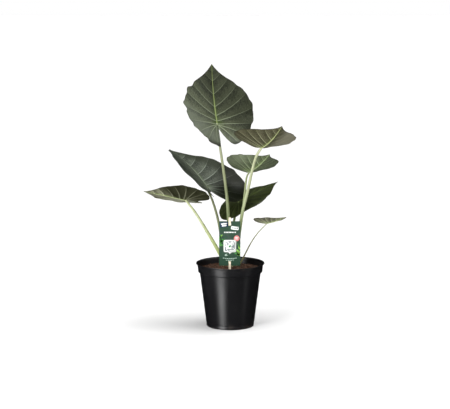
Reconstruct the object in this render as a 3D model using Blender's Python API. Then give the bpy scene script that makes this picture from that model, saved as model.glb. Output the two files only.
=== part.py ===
"""Potted alocasia: a nursery pot of soil, a crown with seven leaves, and a picture card on a stake.

Metres, +Z up. The origin is the centre of the pot's foot, on the surface that the pot stands on.
The card faces -Y, so +Y is the back of the plant. Each leaf is a stalk and a blade.
"""

import math
from collections import namedtuple

import bmesh
import bpy
from mathutils import Vector

MM = 0.001
FIT_GAP = 0.3 * MM          # between pieces that touch

# Pot: one thin moulding, with a lip, a deeper collar, a tapering body and a foot band.
POT_HEIGHT = 158 * MM
POT_WALL = 1.6 * MM
LIP_RADIUS = 85 * MM
LIP_OVERHANG = 3.6 * MM
LIP_DEPTH = 2.6 * MM
COLLAR_HEIGHT = 22 * MM
COLLAR_TAPER = 1.6 * MM
COLLAR_STEP = 4.0 * MM
FOOT_RADIUS = 60 * MM
FOOT_BAND_HEIGHT = 10 * MM
FOOT_BAND_STEP = 0.8 * MM
FOOT_CHAMFER = 1.5 * MM
FLOOR_RISE = 2.0 * MM
POT_SEGMENTS = 64

# Drainage: slots through the wall above the foot, and round holes through the floor.
DRAIN_SLOT_WIDTH = 9 * MM
DRAIN_SLOT_HEIGHT = 5 * MM
DRAIN_SLOT_RISE = 4.5 * MM
DRAIN_SLOT_BEARINGS = (-41, 79, 199)
DRAIN_HOLE_RADIUS = 4.5 * MM
DRAIN_HOLE_RING = 32 * MM
DRAIN_HOLE_COUNT = 6

# Soil and the crown that grows out of it.
SOIL_BELOW_RIM = 15 * MM
CROWN_RADIUS = 24 * MM
CROWN_ABOVE_SOIL = 4 * MM
CROWN_BELOW_SOIL = 26 * MM
CROWN_SHOULDER = 2.5 * MM
CROWN_SEGMENTS = 40

# Picture card and its stake, which is threaded through two slots in the card.
CARD_WIDTH = 52 * MM
CARD_HEIGHT = 110.3 * MM
CARD_THICKNESS = 0.6 * MM
CARD_CORNER = 2.5 * MM
CARD_ABOVE_SOIL = 16.2 * MM
CARD_OFFSET_X = -1.5 * MM
CARD_FROM_CROWN = 21 * MM
STAKE_WIDTH = 5.6 * MM
STAKE_THICKNESS = 1.0 * MM
STAKE_ABOVE_CARD = 9.5 * MM
STAKE_IN_SOIL = 70 * MM
STAKE_SLOT_MARGIN = 8 * MM
STAKE_SLOT_HEIGHT = 6 * MM
STAKE_CLEARANCE = 0.5 * MM

# Leaves.
BLADE_THICKNESS = 1.2 * MM
BLADE_COLUMNS = 32
BLADE_ROWS = 5
STALK_STEPS = 4
STALK_RISE = 5 * MM         # straight start of every stalk, square to the crown
STALK_NECK = 6 * MM         # and the length over which it turns square to the blade

FLOOR_TOP = FLOOR_RISE + POT_WALL
COLLAR_BOTTOM = POT_HEIGHT - COLLAR_HEIGHT
COLLAR_TOP_RADIUS = LIP_RADIUS - LIP_OVERHANG
COLLAR_BOTTOM_RADIUS = COLLAR_TOP_RADIUS - COLLAR_TAPER
BODY_TOP_RADIUS = COLLAR_BOTTOM_RADIUS - COLLAR_STEP
SOIL_LEVEL = POT_HEIGHT - SOIL_BELOW_RIM
CROWN_TOP = SOIL_LEVEL + CROWN_ABOVE_SOIL
CARD_PLANE = -(CROWN_RADIUS + CARD_FROM_CROWN)
CARD_BOTTOM = SOIL_LEVEL + CARD_ABOVE_SOIL
CARD_TOP = CARD_BOTTOM + CARD_HEIGHT
STAKE_SIDESTEP = (CARD_THICKNESS + STAKE_THICKNESS) / 2 + FIT_GAP

# One row for each leaf. Lengths are in millimetres and angles in degrees.
#   hub        where the stalk meets the blade: x, y and height over the soil
#   bearing    compass direction of the tip, from +X towards +Y
#   rise       how far the tip points above level;  roll turns the blade about its midrib
#   length     hub to tip;  width and lobes scale the two other measures of the outline
#   fold       how far the left and right halves lift from flat
#   curl, arch, lobe_lift   bend across a half, along the midrib, and along the back lobes (1/m)
#   twist      turn along the midrib (degrees per 100 mm);  waist draws in the outline's sides
#   seat       where the stalk stands on the crown: bearing, and share of the room there
#   thick      stalk radius at the crown and at the hub
#   ways       points that the stalk passes: x, y and height over the soil
Leaf = namedtuple(
    "Leaf",
    "name hub bearing rise roll length width lobes fold curl arch lobe_lift twist waist seat thick ways",
)

LEAVES = (
    Leaf("top", (-32, -8, 359), 107, 59, -11, 158, 0.98, 1.01, (18, 18), -0.6, 1.8, 3.2, 8.6,
         0.06, (0, 0), (6.2, 2.8), ((-5, -4, 140), (-12, -6, 211), (-24, -8, 297))),
    Leaf("high_right", (74, -60, 309), -69, 14, 11, 129, 0.98, 0.94, (15, 18), 0.9, 4.1, 3.8, -3.4,
         -0.02, (-22, 0.84), (5.4, 3.3), ((28, -19, 135), (42, -32, 198), (59, -51, 277))),
    Leaf("mid_right", (47, 55, 235), -64, 18, 14, 114, 0.98, 0.97, (21, 21), 0.2, 3.4, 4.3, -2.9,
         -0.03, (52, 0.82), (4.2, 2.2), ((25, 17, 104), (34, 28, 168), (40, 46, 218))),
    Leaf("broad_left", (-56, 30, 198), 123, 34, -17, 181, 1.02, 1.02, (21, 19), -0.7, -1.6, 3.5, 1.1,
         -0.02, (160, 0.80), (4.8, 2.6), ((-27, 15, 104), (-42, 26, 160))),
    Leaf("low_left", (-108, -15, 175), 199, 13, -11, 114, 1.00, 1.16, (21, -1), -0.2, 0.1, 1.1, -3.4,
         -0.05, (218, 0.95), (6.6, 3.0), ((-30, -11, 48), (-62, -13, 104), (-86, -15, 143))),
    Leaf("back", (20, 95, 152), 20, 26, -3, 120, 1.02, 1.16, (-3, -3), -0.1, -0.7, -11.0, 2.9,
         0.0, (106, 0.80), (4.8, 2.6), ((3, 45, 70), (12, 74, 120))),
    Leaf("small_right", (90, 10, 112), -48, 14, 12, 72, 0.97, 0.94, (16, 14), -1.0, 3.0, 6.6, -12.6,
         0.02, (11, 0.98), (2.6, 1.3), ((27, 4, 17), (52, 6, 65), (69, 8, 89))),
)


def material(name, color, roughness, metallic=0.0):
    """A Principled material in one colour."""
    made = bpy.data.materials.new(name)
    made.use_nodes = True
    shader = made.node_tree.nodes["Principled BSDF"]
    shader.inputs["Base Color"].default_value = (*color, 1.0)
    shader.inputs["Roughness"].default_value = roughness
    shader.inputs["Metallic"].default_value = metallic
    made.diffuse_color = (*color, 1.0)
    return made


def finish(name, bm, surface, smooth_angle=None):
    """Turn a bmesh into a named object, with its faces pointing outwards."""
    bmesh.ops.recalc_face_normals(bm, faces=bm.faces)
    mesh = bpy.data.meshes.new(name)
    bm.to_mesh(mesh)
    bm.free()
    if smooth_angle is not None:
        mesh.shade_smooth()
        mesh.set_sharp_from_angle(angle=math.radians(smooth_angle))
    made = bpy.data.objects.new(name, mesh)
    bpy.context.scene.collection.objects.link(made)
    made.data.materials.append(surface)
    return made


def turned(profile, segments):
    """Spin (radius, height) points, which start and end on the axis, into a closed solid."""
    bm = bmesh.new()
    points = [bm.verts.new((radius, 0, height)) for radius, height in profile]
    edges = [bm.edges.new(pair) for pair in zip(points, points[1:])]
    bmesh.ops.spin(bm, geom=points + edges, cent=(0, 0, 0), axis=(0, 0, 1),
                   angle=math.tau, steps=segments, use_merge=True)
    bmesh.ops.remove_doubles(bm, verts=bm.verts, dist=0.01 * MM)
    return bm


def box(bm, low, high):
    """Add a box between two corners to a bmesh, and give its vertices."""
    made = bmesh.ops.create_cube(bm, size=1)["verts"]
    low, high = Vector(low), Vector(high)
    bmesh.ops.scale(bm, vec=high - low, verts=made)
    bmesh.ops.translate(bm, vec=(low + high) / 2, verts=made)
    return made


def cut(target, cutter_name, bm):
    """Cut every closed shape in a bmesh out of an object with one Boolean."""
    cutter = finish(cutter_name, bm, target.data.materials[0])
    cutter.hide_render = True
    cutter.display_type = "WIRE"
    boolean = target.modifiers.new(cutter_name, "BOOLEAN")
    boolean.operation = "DIFFERENCE"
    boolean.solver = "EXACT"
    boolean.object = cutter


def arc_run_rise(distance, slope, curvature):
    """How far a line runs and rises when it starts at a slope and bends evenly."""
    if abs(curvature) < 1e-6:
        return distance * math.cos(slope), distance * math.sin(slope)
    end = slope + curvature * distance
    run = (math.sin(end) - math.sin(slope)) / curvature
    rise = (math.cos(slope) - math.cos(end)) / curvature
    return run, rise


# ---------------------------------------------------------------- pot

def body_radius(height):
    """Outer radius of the pot's tapering body at a height."""
    share = (height - FOOT_BAND_HEIGHT) / (COLLAR_BOTTOM - FOOT_BAND_HEIGHT)
    return FOOT_RADIUS + (BODY_TOP_RADIUS - FOOT_RADIUS) * share


def make_pot(surface):
    """The pot's wall, floor, collar and lip in one turned piece, with its drainage cut through."""
    band_radius = FOOT_RADIUS - FOOT_BAND_STEP
    lip_bottom = POT_HEIGHT - LIP_DEPTH
    ledge_top = COLLAR_BOTTOM + POT_WALL
    outside = [
        (0, FLOOR_RISE),
        (band_radius - 3 * POT_WALL, FLOOR_RISE),
        (band_radius - 2.5 * POT_WALL, 0),
        (band_radius - FOOT_CHAMFER, 0),
        (band_radius, FOOT_CHAMFER),
        (band_radius, FOOT_BAND_HEIGHT - FOOT_BAND_STEP),
        (FOOT_RADIUS, FOOT_BAND_HEIGHT),
        (BODY_TOP_RADIUS, COLLAR_BOTTOM),
        (COLLAR_BOTTOM_RADIUS - FOOT_BAND_STEP, COLLAR_BOTTOM),
        (COLLAR_BOTTOM_RADIUS, COLLAR_BOTTOM + FOOT_BAND_STEP),
        (COLLAR_TOP_RADIUS, lip_bottom),
        (LIP_RADIUS - LIP_DEPTH / 3, lip_bottom),
        (LIP_RADIUS, lip_bottom + LIP_DEPTH / 3),
        (LIP_RADIUS, POT_HEIGHT - LIP_DEPTH / 3),
        (LIP_RADIUS - LIP_DEPTH / 3, POT_HEIGHT),
    ]
    inside = [
        (COLLAR_TOP_RADIUS - POT_WALL, POT_HEIGHT),
        (COLLAR_BOTTOM_RADIUS - POT_WALL, ledge_top),
        (BODY_TOP_RADIUS - POT_WALL, ledge_top),
        (body_radius(FLOOR_TOP) - POT_WALL, FLOOR_TOP),
        (0, FLOOR_TOP),
    ]
    pot = finish("pot", turned(outside + inside, POT_SEGMENTS), surface, smooth_angle=30)

    holes = bmesh.new()
    for bearing in DRAIN_SLOT_BEARINGS:
        slot = box(
            holes,
            (FOOT_RADIUS - 3 * POT_WALL, -DRAIN_SLOT_WIDTH / 2, DRAIN_SLOT_RISE),
            (FOOT_RADIUS + 3 * POT_WALL, DRAIN_SLOT_WIDTH / 2, DRAIN_SLOT_RISE + DRAIN_SLOT_HEIGHT),
        )
        turn_about_z(holes, slot, math.radians(bearing))
    for index in range(DRAIN_HOLE_COUNT):
        hole = bmesh.ops.create_cone(
            holes, cap_ends=True, segments=16, depth=4 * POT_WALL,
            radius1=DRAIN_HOLE_RADIUS, radius2=DRAIN_HOLE_RADIUS)["verts"]
        bmesh.ops.translate(holes, vec=(DRAIN_HOLE_RING, 0, FLOOR_RISE + POT_WALL / 2), verts=hole)
        turn_about_z(holes, hole, math.tau * index / DRAIN_HOLE_COUNT)
    cut(pot, "pot_drainage_cutter", holes)
    return pot


def turn_about_z(bm, verts, angle):
    """Turn some vertices about the pot's axis."""
    cosine, sine = math.cos(angle), math.sin(angle)
    for vert in verts:
        x, y, z = vert.co
        vert.co = (x * cosine - y * sine, x * sine + y * cosine, z)


# ---------------------------------------------------------------- soil and crown

def make_soil(surface):
    """Soil that fills the pot, with a socket for the crown and a slot for the stake."""
    floor = FLOOR_TOP + FIT_GAP
    ledge = COLLAR_BOTTOM + POT_WALL + FIT_GAP
    wall = POT_WALL + FIT_GAP
    collar_share = (SOIL_LEVEL - COLLAR_BOTTOM) / (POT_HEIGHT - COLLAR_BOTTOM)
    socket = CROWN_RADIUS + FIT_GAP
    profile = [
        (0, floor),
        (body_radius(floor) - wall, floor),
        (BODY_TOP_RADIUS - wall, ledge),
        (COLLAR_BOTTOM_RADIUS - wall, ledge),
        (COLLAR_BOTTOM_RADIUS - wall + COLLAR_TAPER * collar_share, SOIL_LEVEL),
        (socket, SOIL_LEVEL),
        (socket, SOIL_LEVEL - CROWN_BELOW_SOIL),
        (0, SOIL_LEVEL - CROWN_BELOW_SOIL),
    ]
    soil = finish("soil", turned(profile, POT_SEGMENTS), surface, smooth_angle=30)

    slot = bmesh.new()
    half_width = STAKE_WIDTH / 2 + FIT_GAP
    half_depth = STAKE_THICKNESS / 2 + FIT_GAP
    centre = CARD_PLANE - STAKE_SIDESTEP
    box(
        slot,
        (CARD_OFFSET_X - half_width, centre - half_depth, SOIL_LEVEL - STAKE_IN_SOIL - FIT_GAP),
        (CARD_OFFSET_X + half_width, centre + half_depth, SOIL_LEVEL + FIT_GAP),
    )
    cut(soil, "soil_stake_cutter", slot)
    return soil


def make_crown(surface):
    """The short corm with its collar of old sheaths, set in the soil."""
    bottom = SOIL_LEVEL - CROWN_BELOW_SOIL + FIT_GAP
    profile = [
        (0, bottom),
        (CROWN_RADIUS, bottom),
        (CROWN_RADIUS, CROWN_TOP - CROWN_SHOULDER),
        (CROWN_RADIUS - CROWN_SHOULDER / 4, CROWN_TOP - CROWN_SHOULDER / 4),
        (CROWN_RADIUS - CROWN_SHOULDER, CROWN_TOP),
        (0, CROWN_TOP),
    ]
    return finish("crown", turned(profile, CROWN_SEGMENTS), surface, smooth_angle=40)


# ---------------------------------------------------------------- card and stake

def slot_heights():
    """Middle height of the card's lower and upper slot."""
    inset = STAKE_SLOT_MARGIN
    return CARD_BOTTOM + inset, CARD_TOP - inset


def make_card(surface):
    """A thin upright card with rounded corners and two slots for the stake."""
    bm = bmesh.new()
    made = box(
        bm,
        (CARD_OFFSET_X - CARD_WIDTH / 2, CARD_PLANE - CARD_THICKNESS / 2, CARD_BOTTOM),
        (CARD_OFFSET_X + CARD_WIDTH / 2, CARD_PLANE + CARD_THICKNESS / 2, CARD_TOP),
    )
    corners = [edge for edge in bm.edges
               if abs(edge.verts[0].co.y - edge.verts[1].co.y) > CARD_THICKNESS / 2]
    bmesh.ops.bevel(bm, geom=corners, offset=CARD_CORNER, segments=3, profile=0.5,
                    affect="EDGES", material=-1)
    card = finish("picture_card", bm, surface)

    slots = bmesh.new()
    half_width = STAKE_WIDTH / 2 + STAKE_CLEARANCE
    for height in slot_heights():
        box(
            slots,
            (CARD_OFFSET_X - half_width, CARD_PLANE - CARD_THICKNESS, height - STAKE_SLOT_HEIGHT / 2),
            (CARD_OFFSET_X + half_width, CARD_PLANE + CARD_THICKNESS, height + STAKE_SLOT_HEIGHT / 2),
        )
    cut(card, "card_slot_cutter", slots)
    return card


def make_stake(surface):
    """A flat strip: in front of the card at both ends, and behind it between the slots."""
    lower, upper = slot_heights()
    step = STAKE_SLOT_HEIGHT / 2 - STAKE_CLEARANCE
    front = CARD_PLANE - STAKE_SIDESTEP
    back = CARD_PLANE + STAKE_SIDESTEP
    path = [
        (front, SOIL_LEVEL - STAKE_IN_SOIL),
        (front, lower - step),
        (back, lower + step),
        (back, upper - step),
        (front, upper + step),
        (front, CARD_TOP + STAKE_ABOVE_CARD),
    ]
    half = STAKE_THICKNESS / 2
    outline = [(y - half, z) for y, z in path] + [(y + half, z) for y, z in reversed(path)]
    bm = bmesh.new()
    left = CARD_OFFSET_X - STAKE_WIDTH / 2
    face = bm.faces.new([bm.verts.new((left, y, z)) for y, z in outline])
    extruded = bmesh.ops.extrude_face_region(bm, geom=[face])["geom"]
    moved = [item for item in extruded if isinstance(item, bmesh.types.BMVert)]
    bmesh.ops.translate(bm, vec=(STAKE_WIDTH, 0, 0), verts=moved)
    return finish("card_stake", bm, surface)


# ---------------------------------------------------------------- leaves

def over_soil(point):
    """A point given in millimetres over the soil, in metres over the floor."""
    x, y, height = point
    return Vector((x * MM, y * MM, SOIL_LEVEL + height * MM))


def leaf_axes(leaf):
    """Directions across a blade to its right, along it to its tip, and out of its upper side."""
    bearing, rise, roll = (math.radians(angle) for angle in (leaf.bearing, leaf.rise, leaf.roll))
    level = Vector((math.cos(bearing), math.sin(bearing), 0))
    tip = level * math.cos(rise) + Vector((0, 0, math.sin(rise)))
    up = -level * math.sin(rise) + Vector((0, 0, math.cos(rise)))
    across = tip.cross(up)
    turned_across = across * math.cos(roll) + up * math.sin(roll)
    turned_up = up * math.cos(roll) - across * math.sin(roll)
    return turned_across, tip, turned_up


def outline_radius(leaf, angle):
    """Hub to margin at an angle from the tip, as a share of the blade's length.

    A round leaf, with a drawn-out tip, a deep notch opposite it, and sides that may draw in.
    """
    degrees = abs(math.degrees(angle))
    rounded = 0.60 + 0.17 * math.cos(angle) + 0.23 * math.exp(-degrees / 9)
    notch = 1 - 0.733 * math.exp(-(abs(180 - degrees) / 26) ** 3.5)
    sides = 1 - leaf.waist * math.exp(-((degrees - 110) / 32) ** 2)
    return rounded * notch * sides


def blade_point(leaf, angle, share):
    """A point of the blade's middle surface: angle from the tip, and share of the way out."""
    reach = outline_radius(leaf, angle) * share * leaf.length * MM
    across = math.sin(angle) * reach * leaf.width
    along = math.cos(angle) * reach
    if along < 0:
        along *= leaf.lobes
    fold = math.radians(leaf.fold[1] if across > 0 else leaf.fold[0])
    run, lift = arc_run_rise(abs(across), fold, leaf.curl)
    run = math.copysign(run, across)
    turn = math.radians(leaf.twist) * along / (100 * MM)
    side = run * math.cos(turn) - lift * math.sin(turn)
    height = run * math.sin(turn) + lift * math.cos(turn)
    bend = leaf.arch if along > 0 else leaf.lobe_lift
    forward, up = arc_run_rise(along, 0, bend)
    slope = bend * along
    axis_across, axis_tip, axis_up = leaf_axes(leaf)
    return (over_soil(leaf.hub) + axis_across * side
            + axis_tip * (forward - height * math.sin(slope))
            + axis_up * (up + height * math.cos(slope)))


def make_blade(leaf, surface):
    """A heart-shaped blade: a grid wrapped round the hub, then given its thickness."""
    bm = bmesh.new()
    bmesh.ops.create_grid(bm, x_segments=BLADE_COLUMNS, y_segments=BLADE_ROWS, size=1)
    for vert in bm.verts:
        angle = vert.co.x * math.pi
        share = (vert.co.y + 1) / 2
        vert.co = blade_point(leaf, angle, share)
    bmesh.ops.remove_doubles(bm, verts=bm.verts, dist=0.01 * MM)
    blade = finish("blade_" + leaf.name, bm, surface, smooth_angle=60)
    solidify = blade.modifiers.new("thickness", "SOLIDIFY")
    solidify.thickness = BLADE_THICKNESS
    solidify.offset = 0
    return blade


def stalk_seat(leaf):
    """Where a stalk stands on the crown's flat top, clear of its shoulder."""
    bearing, room = math.radians(leaf.seat[0]), leaf.seat[1]
    ring = room * (CROWN_RADIUS - CROWN_SHOULDER - leaf.thick[0] * MM)
    return Vector((ring * math.cos(bearing), ring * math.sin(bearing), CROWN_TOP + FIT_GAP))


def smooth_route(points):
    """A rounded line through all the points, with a few steps between each two."""
    ends = [points[0] * 2 - points[1]] + points + [points[-1] * 2 - points[-2]]
    route = []
    for before, start, stop, after in zip(ends, ends[1:], ends[2:], ends[3:]):
        for step in range(STALK_STEPS):
            t = step / STALK_STEPS
            route.append(0.5 * (start * 2 + (stop - before) * t
                                + (before * 2 - start * 5 + stop * 4 - after) * t ** 2
                                + (start * 3 - before - stop * 3 + after) * t ** 3))
    return route + [points[-1]]


def make_stalk(leaf, surface):
    """A tapering stalk from the crown to just under the blade's hub."""
    base_radius, hub_radius = leaf.thick[0] * MM, leaf.thick[1] * MM
    seat = stalk_seat(leaf)
    down = -leaf_axes(leaf)[2]
    top = over_soil(leaf.hub) + down * (BLADE_THICKNESS / 2 + 2 * FIT_GAP)
    bends = [seat + Vector((0, 0, STALK_RISE))]
    bends += [over_soil(way) for way in leaf.ways]
    bends += [top + down * STALK_NECK]
    route = [seat] + smooth_route(bends) + [top]

    curve = bpy.data.curves.new("stalk_" + leaf.name, "CURVE")
    curve.dimensions = "3D"
    curve.bevel_depth = 1
    curve.bevel_resolution = 2
    curve.use_fill_caps = True
    spline = curve.splines.new("POLY")
    spline.points.add(len(route) - 1)
    spline.use_smooth = True
    for index, (point, place) in enumerate(zip(spline.points, route)):
        share = index / (len(route) - 1)
        point.co = (*place, 1)
        point.radius = base_radius + (hub_radius - base_radius) * share ** 0.7
    stalk = bpy.data.objects.new("stalk_" + leaf.name, curve)
    bpy.context.scene.collection.objects.link(stalk)
    curve.materials.append(surface)
    return stalk


# ---------------------------------------------------------------- the whole plant

def build():
    """Empty the scene and make every piece."""
    for old in list(bpy.data.objects):
        bpy.data.objects.remove(old, do_unlink=True)
    make_pot(material("pot_plastic", (0.012, 0.012, 0.014), 0.35))
    make_soil(material("soil_peat", (0.055, 0.026, 0.014), 0.95))
    make_crown(material("crown_sheath", (0.36, 0.34, 0.16), 0.60))
    make_card(material("card_print", (0.012, 0.070, 0.045), 0.40))
    make_stake(material("stake_wood", (0.80, 0.74, 0.62), 0.60))
    blade_surface = material("leaf_blade", (0.030, 0.042, 0.026), 0.40)
    stalk_surface = material("leaf_stalk", (0.42, 0.50, 0.25), 0.45)
    for leaf in LEAVES:
        make_blade(leaf, blade_surface)
        make_stalk(leaf, stalk_surface)


build()
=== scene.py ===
# %% [markdown]
# # A potted alocasia
# This lesson builds the looks of a house plant round a finished CAD model: a black nursery pot of peat,
# seven heart-shaped leaves on fleshy stalks, and a printed picture card threaded on a wooden stake.
# The CAD pieces give every place and size. Most are replaced here by a finer shape of the same size,
# because a thin living leaf needs ribs, quilting and a waved margin that a working solid leaves out.

import math
import random
from collections import namedtuple

import bmesh
import bpy
from mathutils import Euler, Matrix, Vector, noise


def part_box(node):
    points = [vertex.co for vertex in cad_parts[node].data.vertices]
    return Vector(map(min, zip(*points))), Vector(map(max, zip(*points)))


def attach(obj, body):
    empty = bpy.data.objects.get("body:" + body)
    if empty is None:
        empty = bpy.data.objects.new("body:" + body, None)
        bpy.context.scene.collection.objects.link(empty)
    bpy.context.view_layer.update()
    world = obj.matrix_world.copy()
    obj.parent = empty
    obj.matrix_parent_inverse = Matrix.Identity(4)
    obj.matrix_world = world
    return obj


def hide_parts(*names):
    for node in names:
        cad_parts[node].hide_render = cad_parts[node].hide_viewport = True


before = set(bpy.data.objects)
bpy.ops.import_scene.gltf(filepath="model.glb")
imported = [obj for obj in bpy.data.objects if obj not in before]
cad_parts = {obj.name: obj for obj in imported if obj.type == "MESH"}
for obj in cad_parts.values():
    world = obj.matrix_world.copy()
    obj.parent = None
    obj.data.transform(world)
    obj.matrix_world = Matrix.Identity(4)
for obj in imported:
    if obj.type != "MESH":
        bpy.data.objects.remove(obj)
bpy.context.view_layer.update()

MM = 0.001
UP = Vector((0, 0, 1))
print("CAD nodes:", len(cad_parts))

# %% [markdown]
# ## The studio
# The plant stands on a white sweep in soft light. A sweep could be one bent sheet, but here a flat
# floor under a white world does the same, since both end up fully white. The world lights the plant
# only dimly, so that black plastic stays black. The light comes from four very wide suns, most of it
# from high on the right, and from a tall panel on each side that draws a streak down the pot.

# %% Camera
VIEW_TARGET = Vector((-0.0131, 0, 0.3038))
VIEW_DISTANCE = 3.5
VIEW_DIP = math.radians(8.66)       # how far the camera looks down
VIEW_LENS = 113.55

camera_data = bpy.data.cameras.new("view")
camera_data.lens = VIEW_LENS
camera_data.sensor_width = 36
camera = bpy.data.objects.new("view", camera_data)
bpy.context.scene.collection.objects.link(camera)
sight = Vector((0, math.cos(VIEW_DIP), -math.sin(VIEW_DIP)))
camera.location = VIEW_TARGET - sight * VIEW_DISTANCE
camera.rotation_euler = sight.to_track_quat("-Z", "Y").to_euler()
bpy.context.scene.camera = camera
bpy.context.scene.view_settings.view_transform = "Standard"
print("camera at", [round(value, 3) for value in camera.location])

# %% [markdown]
# ## Writing node trees by hand
# A finish is a small graph of nodes. One helper adds any node and plugs its inputs. A class then
# holds one material and the few steps that every finish is written in: arithmetic, noise, remapping,
# laying one colour over another, and relief.


# %% Node helpers
def add_node(tree, kind, inputs=None, **settings):
    """A new node, with its settings made and its inputs set or linked by name or number."""
    made = tree.nodes.new(kind)
    for setting, value in settings.items():
        setattr(made, setting, value)
    for key, value in (inputs or {}).items():
        if isinstance(value, bpy.types.NodeSocket):
            tree.links.new(value, made.inputs[key])
        else:
            made.inputs[key].default_value = value
    return made


class Finish:
    """A Principled material, made with the values that are the same all over it."""

    def __init__(self, name, **sockets):
        self.material = bpy.data.materials.new(name)
        self.material.use_nodes = True
        self.tree = self.material.node_tree
        self.shader = self.tree.nodes["Principled BSDF"]
        for socket, value in sockets.items():
            self.shader.inputs[socket.replace("_", " ")].default_value = value
        # the coordinates of the piece itself, in metres
        self.place = add_node(self.tree, "ShaderNodeTexCoord").outputs["Object"]

    def calc(self, operation, *values):
        """One step of arithmetic."""
        inputs = dict(enumerate(values))
        return add_node(self.tree, "ShaderNodeMath", inputs, operation=operation).outputs[0]

    def times(self, first, second):
        return self.calc("MULTIPLY", first, second)

    def length(self, first, second):
        """How long a straight line is that goes this far along and this far across."""
        return self.calc("SQRT", self.calc("ADD", self.times(first, first), self.times(second, second)))

    def uv(self, name):
        return add_node(self.tree, "ShaderNodeUVMap", uv_map=name).outputs[0]

    def axis(self, vector, number):
        return add_node(self.tree, "ShaderNodeSeparateXYZ", {0: vector}).outputs[number]

    def remap(self, value, low, high, to_low=0.0, to_high=1.0):
        """A value brought softly from one range to another."""
        inputs = dict(enumerate((value, low, high, to_low, to_high)))
        return add_node(self.tree, "ShaderNodeMapRange", inputs, interpolation_type="SMOOTHSTEP").outputs[0]

    def cloud(self, scale, detail=3.0, roughness=0.5, where=None):
        """Soft noise between 0 and 1. Its scale is one number, or one for each axis."""
        vector = self.place if where is None else where
        if isinstance(scale, tuple):
            vector = add_node(self.tree, "ShaderNodeMapping", {"Vector": vector, "Scale": scale}).outputs[0]
            scale = 1.0
        inputs = {"Vector": vector, "Scale": scale, "Detail": detail, "Roughness": roughness}
        return add_node(self.tree, "ShaderNodeTexNoise", inputs).outputs["Fac"]

    def start(self, share, first, second):
        """Begin the skin with one colour, going over to another as share goes from 0 to 1."""
        self.skin = (*first, 1.0)
        self.lay(second, share)

    def lay(self, tint, share, strength=None):
        """Lay a colour over the skin where share is 1."""
        if strength is not None:
            share = self.times(share, strength)
        inputs = {0: share, 6: self.skin, 7: (*tint, 1.0)}
        self.skin = add_node(self.tree, "ShaderNodeMix", inputs, data_type="RGBA").outputs[2]

    def relief(self, height, distance, strength, under=None):
        """A bump normal from a height between 0 and 1, on top of another bump if one is given."""
        inputs = {"Height": height, "Distance": distance, "Strength": strength}
        if under is not None:
            inputs["Normal"] = under
        return add_node(self.tree, "ShaderNodeBump", inputs).outputs["Normal"]

    def close(self, **sources):
        """Link the skin and the other sources to the shader."""
        sources["Base Color"] = self.skin
        for socket, source in sources.items():
            self.tree.links.new(source, self.shader.inputs[socket])


print("node helpers ready")


# %% Floor
def make_object(name, bm, finishes, smooth=True):
    """An object at the origin from a bmesh, with its place in its mesh."""
    mesh = bpy.data.meshes.new(name)
    bm.to_mesh(mesh)
    bm.free()
    for finish in finishes:
        mesh.materials.append(finish.material)
    if smooth:
        mesh.shade_smooth()
    made = bpy.data.objects.new(name, mesh)
    bpy.context.scene.collection.objects.link(made)
    return made


FLOOR_REACH = 40.0
white = Finish("floor_white", Roughness=0.7, Specular_IOR_Level=0.2)
white.start(white.cloud(3.0), (0.73, 0.73, 0.73), (0.745, 0.745, 0.745))
white.close()
bm = bmesh.new()
bmesh.ops.create_circle(bm, cap_ends=True, segments=96, radius=FLOOR_REACH)
floor = make_object("floor", bm, [white])
floor.visible_glossy = False
print("floor radius in m:", FLOOR_REACH)

# %% World, suns and panels
WORLD_LIGHT = 0.08              # what the world gives to the piece; the camera sees it fully white
SUN_SPREAD = math.radians(48)   # a wide sun stands for a soft ceiling, and blurs the shadow on the floor

world = bpy.data.worlds.new("studio")
world.use_nodes = True
background = world.node_tree.nodes["Background"]
rays = add_node(world.node_tree, "ShaderNodeLightPath").outputs
glow = add_node(world.node_tree, "ShaderNodeMath",
                {0: rays["Is Diffuse Ray"], 1: WORLD_LIGHT, 2: rays["Is Camera Ray"]},
                operation="MULTIPLY_ADD").outputs[0]
world.node_tree.links.new(glow, background.inputs["Strength"])
background.inputs["Color"].default_value = (1, 1, 1, 1)
bpy.context.scene.world = world


def add_lamp(name, kind, place, heading, **settings):
    """A lamp at a place that shines along a heading."""
    data = bpy.data.lights.new(name, kind)
    for setting, value in settings.items():
        setattr(data, setting, value)
    lamp = bpy.data.objects.new(name, data)
    bpy.context.scene.collection.objects.link(lamp)
    lamp.location = place
    lamp.rotation_euler = heading.to_track_quat("-Z", "Y").to_euler()


# name, the way its light travels, and strength
SUNS = (
    ("right", (-0.60, -0.06, -1.0), 2.7),
    ("middle", (0.0, -0.06, -1.0), 1.1),
    ("left", (0.40, -0.06, -1.0), 1.0),
    ("front", (-0.10, 1.0, -0.35), 0.55),
)
for name, travel, strength in SUNS:
    add_lamp("sky_" + name, "SUN", (0, 0, 0), Vector(travel), energy=strength, angle=SUN_SPREAD)

# name, place, width and height of the panel, and power
PANELS = (
    ("left", (-1.12, -1.42, 0.10), (0.85, 3.2), 80),
    ("right", (1.7, -0.75, 0.10), (0.26, 3.0), 3),
)
PANEL_AIM = Vector((0, 0, 0.10))
for name, place, size, power in PANELS:
    add_lamp("panel_" + name, "AREA", place, PANEL_AIM - Vector(place),
             shape="RECTANGLE", size=size[0], size_y=size[1], energy=power)
print("suns:", len(SUNS), "panels:", len(PANELS))


# %% Handing a finished piece over
def hand_over(piece, slot, *nodes):
    """Attach a piece to the root body, hide the CAD nodes it stands for, and print its size; slot is not
    used.
    """
    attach(piece, "root")
    if nodes:
        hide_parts(*nodes)
    low, high = Vector(piece.bound_box[0]), Vector(piece.bound_box[6])
    size = [round(value / MM, 1) for value in high - low]
    print(piece.name, "faces", len(piece.data.polygons), "size in mm", size)


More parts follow.
